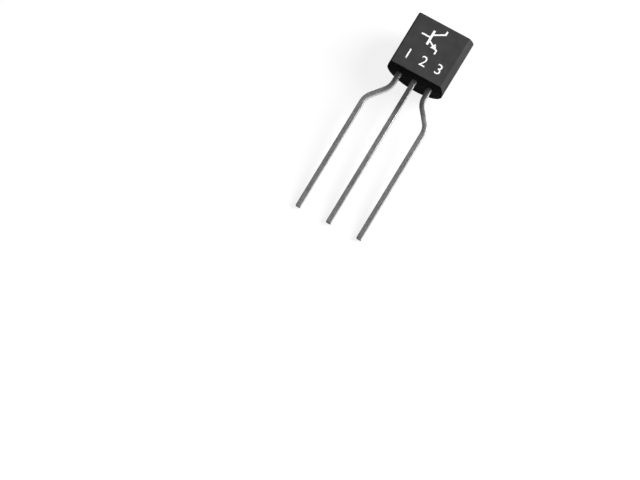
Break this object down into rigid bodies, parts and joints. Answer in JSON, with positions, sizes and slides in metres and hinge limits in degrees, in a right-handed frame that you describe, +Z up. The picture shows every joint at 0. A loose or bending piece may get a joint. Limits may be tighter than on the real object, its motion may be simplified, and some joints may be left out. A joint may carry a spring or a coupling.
{
  "type": "transistor",
  "caption": "Small-signal transistor in a D-shaped black moulded body, with a flat marked face and straight leads that are spread outwards below it.",
  "frame": {"origin": "centre of the bounding box's bottom, on the surface that the part lies on", "axes": "+Y from the lead tips towards the top of the body, along the surface; +Z up, out of the marked flat face's side; +X to the right, seen from above with the leads pointing to the viewer"},
  "size_m": [0.0054, 0.0172, 0.004],
  "materials": {
    "epoxy": "matte",
    "tinned_lead": "satin",
    "silicon": "polished",
    "gold_wire": "polished"
  },
  "bodies": {
    "root": {"moulded_body": "epoxy", "collector_lead": "tinned_lead", "base_lead": "tinned_lead", "emitter_lead": "tinned_lead", "silicon_die": "silicon", "base_bond_wire": "gold_wire", "emitter_bond_wire": "gold_wire"}
  },
  "joints": []
}
